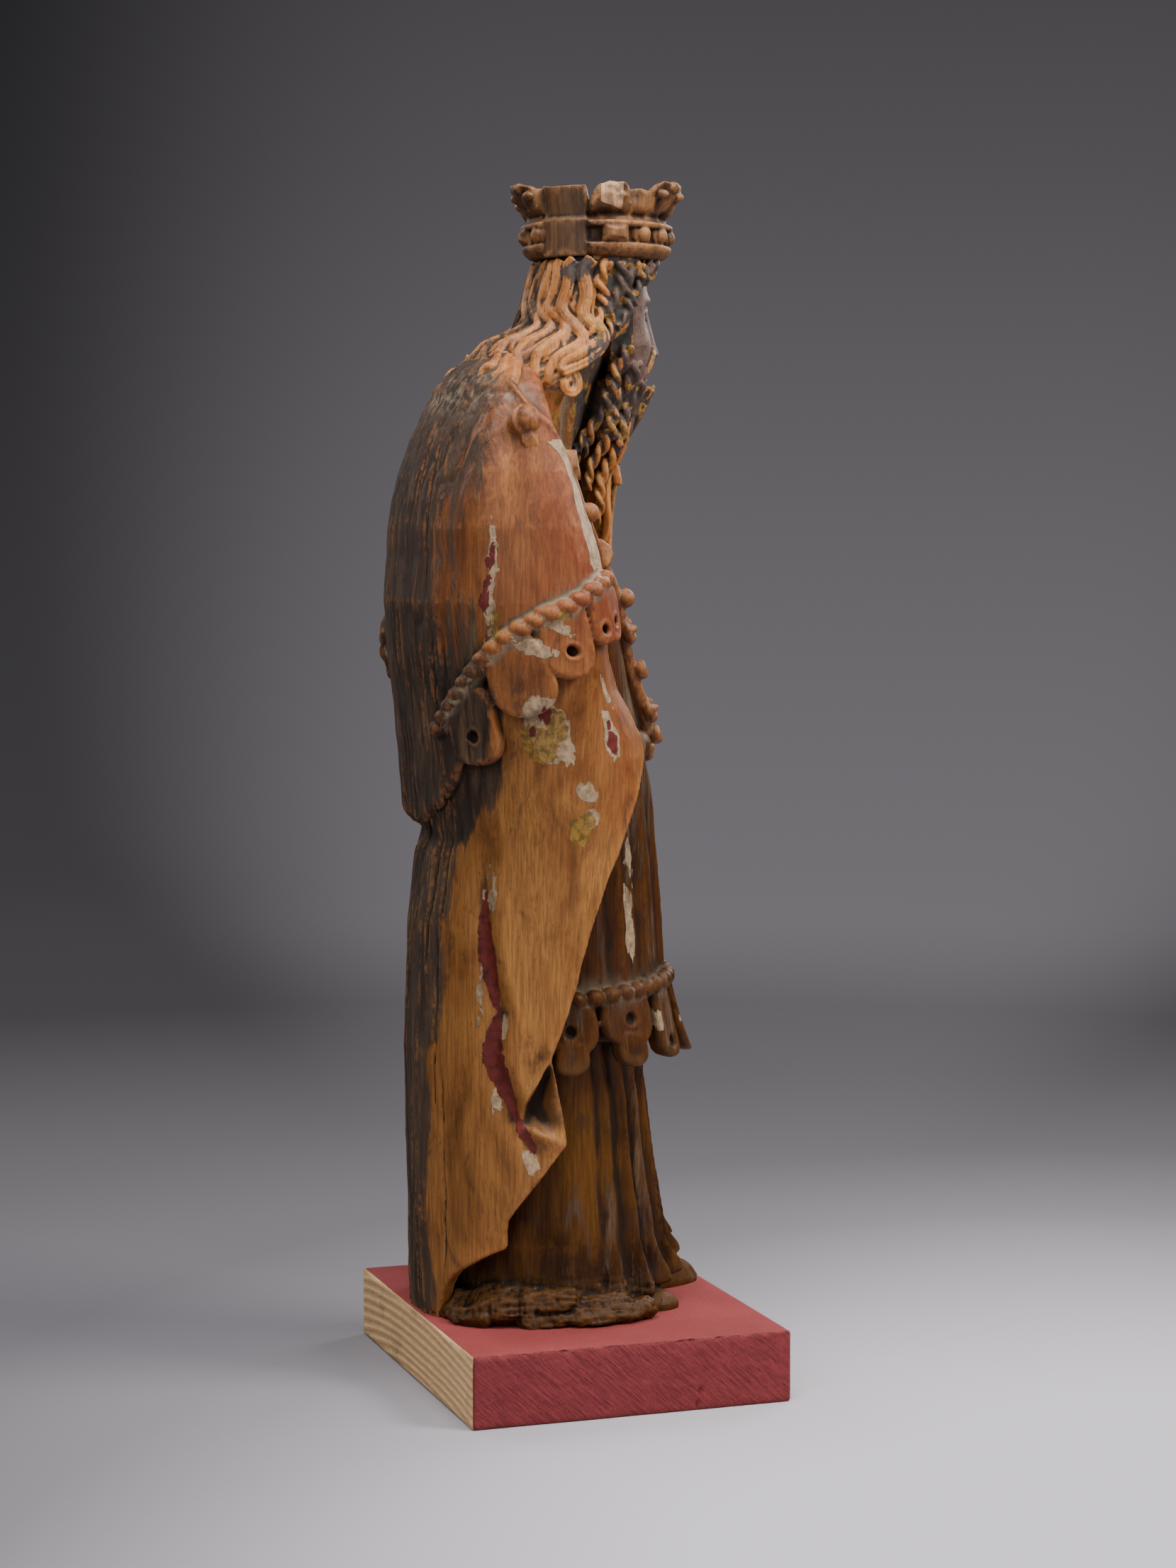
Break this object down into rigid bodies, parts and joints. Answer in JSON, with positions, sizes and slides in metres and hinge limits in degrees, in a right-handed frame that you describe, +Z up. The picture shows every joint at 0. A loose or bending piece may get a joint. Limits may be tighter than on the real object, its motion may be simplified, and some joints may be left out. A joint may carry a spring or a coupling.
{
  "type": "wooden saint statue",
  "caption": "Standing carved wooden figure of a crowned, bearded king or saint in cape, mantle, tunic and pleated robe, with a chain of office, on a red-painted softwood block.",
  "frame": {"origin": "middle of the block's underside", "axes": "+Z up, the figure faces -Y, its right side is -X"},
  "size_m": [0.3068, 0.2626, 0.9152],
  "materials": {
    "carved_wood": "old waxed softwood, worn and cracked, with remains of gesso, gold leaf and red paint",
    "red_painted_block": "matt red paint over sawn softwood, one end bare"
  },
  "bodies": {
    "root": {"statue": "carved_wood", "base_block": "red_painted_block"}
  },
  "joints": []
}
